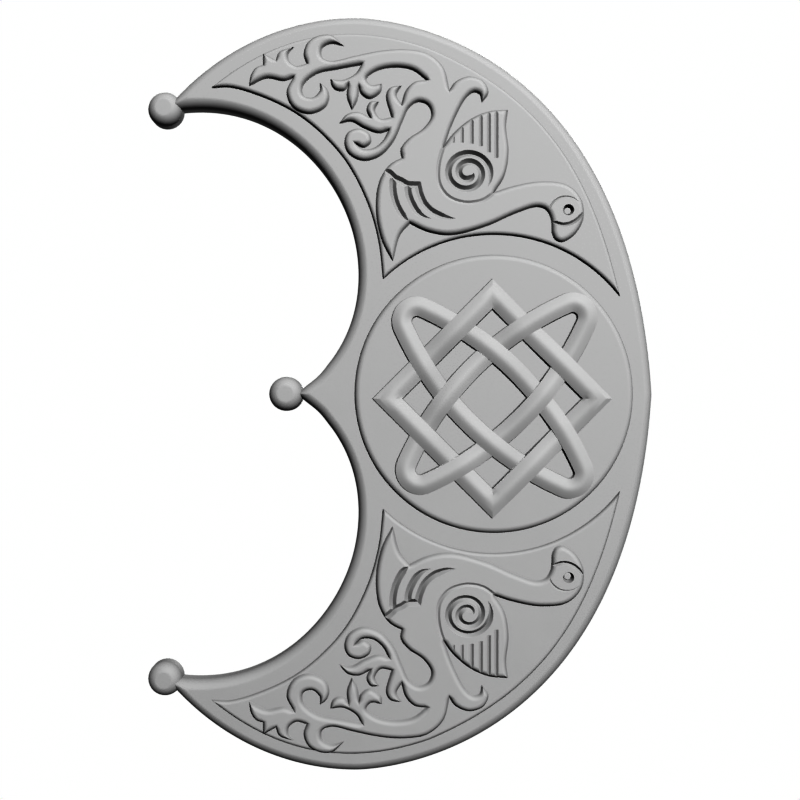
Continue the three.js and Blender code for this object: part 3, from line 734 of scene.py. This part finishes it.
def strand(line, width, others, base):
    """A band with a softly ridged top that follows a closed line, with mitred corners."""
    knot = bpy.context.scene.knot_sizes
    crowns = base + crown_heights(line, others)
    facing = -inward_directions(line[::-1])[::-1]
    before = line - np.roll(line, 1, axis=0)
    before /= np.linalg.norm(before, axis=1)[:, None]
    lean = np.abs((facing * np.column_stack((-before[:, 1], before[:, 0]))).sum(axis=1))
    offsets = np.linspace(width / 2, -width / 2, STRAND_POINTS)
    drops = knot.strand_ridge - np.hypot(knot.strand_ridge, knot.strand_slope * offsets)
    cove = knot.strand_cove
    wide = width / 2 + cove
    skirt = [(-wide, base), (-wide, base - ROOT), (wide, base - ROOT), (wide, base),
             (width / 2, base + cove * COVE_RISE)]
    rings = []
    for point, sideways, crown in zip(line, facing / lean[:, None], crowns):
        ring = [(*(point + sideways * x), height) for x, height in skirt]
        ring += [(*(point + sideways * x), crown + drop) for x, drop in zip(offsets, drops)]
        ring.append((*(point - sideways * width / 2), base + cove * COVE_RISE))
        rings.append(np.array(ring))
    return closed_rings("strand", rings, capped=False)


class ONLAY_OT_plate(bpy.types.Operator):
    """Make the crescent plate with its rounded rim and its three balls"""

    bl_idname = "onlay.plate"
    bl_label = "Plate"

    def execute(self, context):
        s = context.scene.onlay_sizes
        edge = (0, s.edge_height, s.shoulder_radius, s.shoulder_run)
        plate = rounded("plate", crescent_outline(), *edge)
        for centre in BALLS:
            combine(plate, rounded_disc("ball", centre, s.ball_radius, *edge))
        return {"FINISHED"}


class ONLAY_OT_arms(bpy.types.Operator):
    """Make the raised panel of each arm, with its bird and leaves"""

    bl_idname = "onlay.arms"
    bl_label = "Panels and birds"

    def execute(self, context):
        s = context.scene.onlay_sizes
        base = plate_top()
        wall = base + s.panel_rise - s.panel_rounding
        panel = rounded("upper_arm", panel_outline(), base - ROOT, wall, s.panel_rounding,
                        cove=s.panel_cove, ground=base)
        ledge = base + s.panel_rise
        figure = rounded("figure", figure_outline(), base - ROOT, ledge, s.figure_rise,
                         cove=s.figure_cove, ground=ledge)
        cut_lines(figure, ledge + s.figure_rise)
        combine(panel, figure)
        carve_eye(panel, ledge + s.figure_rise)
        lower = panel.copy()
        lower.data = panel.data.copy()
        lower.name = "lower_arm"
        context.collection.objects.link(lower)
        for vertex in lower.data.vertices:
            vertex.co.z = -vertex.co.z
        lower.data.flip_normals()
        return {"FINISHED"}


class ONLAY_OT_medallion(bpy.types.Operator):
    """Make the medallion with its interlaced star"""

    bl_idname = "onlay.medallion"
    bl_label = "Medallion and star"

    def execute(self, context):
        s = context.scene.onlay_sizes
        knot = context.scene.knot_sizes
        base = plate_top()
        medallion = rounded_disc(
            "medallion", (0, 0), s.medallion_radius, base - ROOT, base, s.medallion_rise)
        strands = [(diamond_line(), knot.diamond_width),
                   (loop_line(FALLING_LOOP_CENTRE, -pi / 4), knot.loop_width),
                   (loop_line(RISING_LOOP_CENTRE, -3 * pi / 4), knot.loop_width)]
        for line, width in strands:
            others = [other for other, _ in strands if other is not line]
            combine(medallion, strand(line, width, others, base + s.medallion_rise))
        return {"FINISHED"}


class ONLAY_OT_assemble(bpy.types.Operator):
    """Join plate, arms and medallion to one solid and give it its finish"""

    bl_idname = "onlay.assemble"
    bl_label = "Join and finish"

    def execute(self, context):
        onlay = bpy.data.objects["plate"]
        for name in ("upper_arm", "lower_arm", "medallion"):
            combine(onlay, bpy.data.objects[name])
        onlay.name = "crescent_onlay_carved"
        only_select(onlay)
        bpy.ops.object.mode_set(mode="EDIT")
        bpy.ops.mesh.select_all(action="SELECT")
        bpy.ops.mesh.dissolve_limited(angle_limit=FLAT)
        bpy.ops.object.mode_set(mode="OBJECT")
        bpy.ops.object.shade_smooth_by_angle(angle=SOFT_EDGE)
        weigh = onlay.modifiers.new("flat_faces_first", "WEIGHTED_NORMAL")
        weigh.keep_sharp = True
        weigh.weight = FACE_WEIGHT
        bpy.ops.object.modifier_apply(modifier=weigh.name)
        onlay.data.materials.clear()
        onlay.data.materials.append(cast_body_material())
        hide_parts(NODE)
        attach(onlay, "root")
        return {"FINISHED"}


def grain_group():
    """Fine grain and soft mottling of a cast or painted surface, both from 0 to 1."""
    group = bpy.data.node_groups.get("cast_grain")
    if group:
        return group
    group = bpy.data.node_groups.new("cast_grain", "ShaderNodeTree")
    group.interface.new_socket("Position", in_out="INPUT", socket_type="NodeSocketVector")
    for name in ("Grains per metre", "Patches per metre"):
        group.interface.new_socket(name, in_out="INPUT", socket_type="NodeSocketFloat")
    start, end = group.nodes.new("NodeGroupInput"), group.nodes.new("NodeGroupOutput")
    for name, scale, detail in (("Grain", "Grains per metre", GRAIN_DETAIL),
                                ("Mottling", "Patches per metre", PATCH_DETAIL)):
        group.interface.new_socket(name, in_out="OUTPUT", socket_type="NodeSocketFloat")
        noise = group.nodes.new("ShaderNodeTexNoise")
        noise.inputs["Detail"].default_value = detail
        group.links.new(start.outputs["Position"], noise.inputs["Vector"])
        group.links.new(start.outputs[scale], noise.inputs["Scale"])
        group.links.new(noise.outputs["Fac"], end.inputs[name])
    return group


def mixed(tree, share, first, second):
    """A mix of two colours by a share, where each colour is a socket or a plain value."""
    mix = tree.nodes.new("ShaderNodeMix")
    mix.data_type = "RGBA"
    tree.links.new(share, mix.inputs[0])
    for socket, colour in ((mix.inputs[6], first), (mix.inputs[7], second)):
        if isinstance(colour, bpy.types.NodeSocket):
            tree.links.new(colour, socket)
        else:
            socket.default_value = colour
    return mix.outputs[2]


def narrowed(tree, value, low, high, least, most):
    """A value mapped from one range to another, and kept inside it."""
    spread = tree.nodes.new("ShaderNodeMapRange")
    numbers = {"From Min": low, "From Max": high, "To Min": least, "To Max": most}
    for socket, number in numbers.items():
        spread.inputs[socket].default_value = number
    tree.links.new(value, spread.inputs["Value"])
    return spread.outputs["Result"]


def grained_material(name, grains, patches, bump, roughness):
    """A material with a grained bump and patchy gloss. Returns it, with the node of its grain."""
    material = bpy.data.materials.new(name)
    material.use_nodes = True
    tree = material.node_tree
    nodes, links = tree.nodes, tree.links
    shader = nodes["Principled BSDF"]
    place = nodes.new("ShaderNodeTexCoord")
    grain = nodes.new("ShaderNodeGroup")
    grain.node_tree = grain_group()
    grain.inputs["Grains per metre"].default_value = grains
    grain.inputs["Patches per metre"].default_value = patches
    links.new(place.outputs["Object"], grain.inputs["Position"])
    relief = nodes.new("ShaderNodeBump")
    relief.inputs["Strength"].default_value = 1
    relief.inputs["Distance"].default_value = bump
    links.new(grain.outputs["Grain"], relief.inputs["Height"])
    links.new(relief.outputs["Normal"], shader.inputs["Normal"])
    gloss = narrowed(tree, grain.outputs["Mottling"], NOISE_LOW, NOISE_HIGH, *roughness)
    links.new(gloss, shader.inputs["Roughness"])
    return material, grain


def cast_body_material():
    """Grey cast body: patchy, with painted shade on steep walls, and paler on the highest relief.
    """
    finish = bpy.context.scene.onlay_finish
    material, grain = grained_material(
        "cast_body", BODY_GRAINS, BODY_PATCHES, finish.grain_height, BODY_ROUGHNESS)
    tree = material.node_tree
    nodes, links = tree.nodes, tree.links
    shader = nodes["Principled BSDF"]
    shader.inputs["Specular IOR Level"].default_value = BODY_SHEEN
    patchy = narrowed(tree, grain.outputs["Mottling"], NOISE_LOW, NOISE_HIGH, 0, 1)
    body = mixed(tree, patchy, finish.patch_colour, finish.body_colour)
    # Painted shade: walls that turn away from the front are darkened in the colour
    facing = nodes.new("ShaderNodeSeparateXYZ")
    links.new(nodes.new("ShaderNodeNewGeometry").outputs["Normal"], facing.inputs[0])
    painted_shade_mask = narrowed(tree, facing.outputs["Y"], *PAINTED_SHADE_FACING, 0, PAINTED_SHADE_SHARE)
    body = mixed(tree, painted_shade_mask, body, finish.painted_shade_colour)
    place = nodes.new("ShaderNodeSeparateXYZ")
    links.new(nodes.new("ShaderNodeTexCoord").outputs["Object"], place.inputs[0])
    low = -plate_top() - sizes().medallion_rise
    high = low - bpy.context.scene.knot_sizes.strand_rise
    worn = narrowed(tree, place.outputs["Y"], low, high, 0, 1)
    links.new(mixed(tree, worn, body, finish.worn_colour), shader.inputs["Base Color"])
    return material


def floor_material():
    """Pale matt floor that keeps its tone at any distance from the lights."""
    material, grain = grained_material(
        "pale_floor", FLOOR_GRAINS, FLOOR_PATCHES, FLOOR_GRAIN_HEIGHT, FLOOR_ROUGHNESS)
    tree = material.node_tree
    shader = tree.nodes["Principled BSDF"]
    pale = mixed(tree, grain.outputs["Mottling"], *map(grey, FLOOR_TONES))
    tree.links.new(pale, shader.inputs["Emission Color"])
    shader.inputs["Emission Strength"].default_value = 1
    shader.inputs["Base Color"].default_value = grey(FLOOR_BASE)
    return material


def studio_light(name, power, place):
    """A soft square light that faces the onlay and throws no shadow, as in the photograph."""
    lamp = bpy.data.objects.new(name, bpy.data.lights.new(name, "AREA"))
    lamp.data.energy = power
    lamp.data.size = LAMP_SIZE
    lamp.data.use_shadow = False
    lamp.data.cycles.max_bounces = 0
    lamp.location = place
    lamp.rotation_euler = (-place).to_track_quat("-Z", "Y").to_euler()
    bpy.context.scene.collection.objects.link(lamp)


def studio_world(fill, behind):
    """A white surround whose light is faint in front of the onlay and grows behind it."""
    world = bpy.data.worlds.new("studio")
    world.use_nodes = True
    tree = world.node_tree
    nodes, links = tree.nodes, tree.links
    background = nodes["Background"]
    background.inputs["Color"].default_value = (1, 1, 1, 1)
    direction = nodes.new("ShaderNodeSeparateXYZ")
    links.new(nodes.new("ShaderNodeTexCoord").outputs["Generated"], direction.inputs[0])
    soft = narrowed(tree, direction.outputs["Y"], 0, 1, fill, behind)
    seen = nodes.new("ShaderNodeMath")
    seen.operation = "MAXIMUM"
    links.new(nodes.new("ShaderNodeLightPath").outputs["Is Camera Ray"], seen.inputs[0])
    links.new(soft, seen.inputs[1])
    links.new(seen.outputs[0], background.inputs["Strength"])
    return world


class ONLAY_OT_stage(bpy.types.Operator):
    """Make the floor, the lights and the camera"""

    bl_idname = "onlay.stage"
    bl_label = "Stage"

    def execute(self, context):
        s = context.scene.stage_settings
        scene = context.scene
        camera = bpy.data.objects.new("camera", bpy.data.cameras.new("camera"))
        camera.data.lens = s.lens
        camera.data.sensor_width = FILM_WIDTH
        across, up = CAMERA_PLACE
        camera.location = (across * STEP, -plate_top() - s.distance, up * STEP)
        camera.rotation_euler = (pi / 2, 0, 0)
        scene.collection.objects.link(camera)
        scene.camera = camera
        aside = sin(s.key_tilt)
        towards = (aside * cos(s.key_turn), -cos(s.key_tilt), aside * sin(s.key_turn))
        studio_light("key", s.key_power, Vector(towards) * s.key_distance)
        studio_light("back", s.back_power, Vector((0, s.key_distance, 0)))
        scene.world = studio_world(s.fill, s.behind)
        bpy.ops.object.select_all(action="DESELECT")
        bpy.ops.mesh.primitive_plane_add(size=FLOOR_SIZE, location=(0, 0, FLOOR_LEVEL))
        floor = context.object
        floor.name = "floor"
        floor.visible_diffuse = floor.visible_glossy = floor.visible_shadow = False
        floor.data.materials.append(floor_material())
        scene.view_settings.view_transform = "Raw"
        return {"FINISHED"}


class ONLAY_PT_panel(bpy.types.Panel):
    """Lists the steps that build the onlay"""

    bl_idname = "ONLAY_PT_panel"
    bl_label = "Crescent onlay"
    bl_space_type = "VIEW_3D"
    bl_region_type = "UI"
    bl_category = "Onlay"

    def draw(self, context):
        for step in STEPS:
            self.layout.operator(step.bl_idname)


STEPS = (ONLAY_OT_plate, ONLAY_OT_arms, ONLAY_OT_medallion, ONLAY_OT_assemble, ONLAY_OT_stage)
GROUPS = {
    "onlay_sizes": OnlaySizes,
    "knot_sizes": KnotSizes,
    "groove_sizes": GrooveSizes,
    "onlay_finish": OnlayFinish,
    "stage_settings": StageSettings,
}


def register():
    for group in (*GROUPS.values(), *STEPS, ONLAY_PT_panel):
        bpy.utils.register_class(group)
    for name, group in GROUPS.items():
        setattr(bpy.types.Scene, name, bpy.props.PointerProperty(type=group))


def unregister():
    for name in GROUPS:
        delattr(bpy.types.Scene, name)
    for group in (ONLAY_PT_panel, *STEPS, *GROUPS.values()):
        bpy.utils.unregister_class(group)


def main():
    register()
    bpy.ops.onlay.plate()
    bpy.ops.onlay.arms()
    bpy.ops.onlay.medallion()
    bpy.ops.onlay.assemble()
    bpy.ops.onlay.stage()


if __name__ == "__main__":
    main()
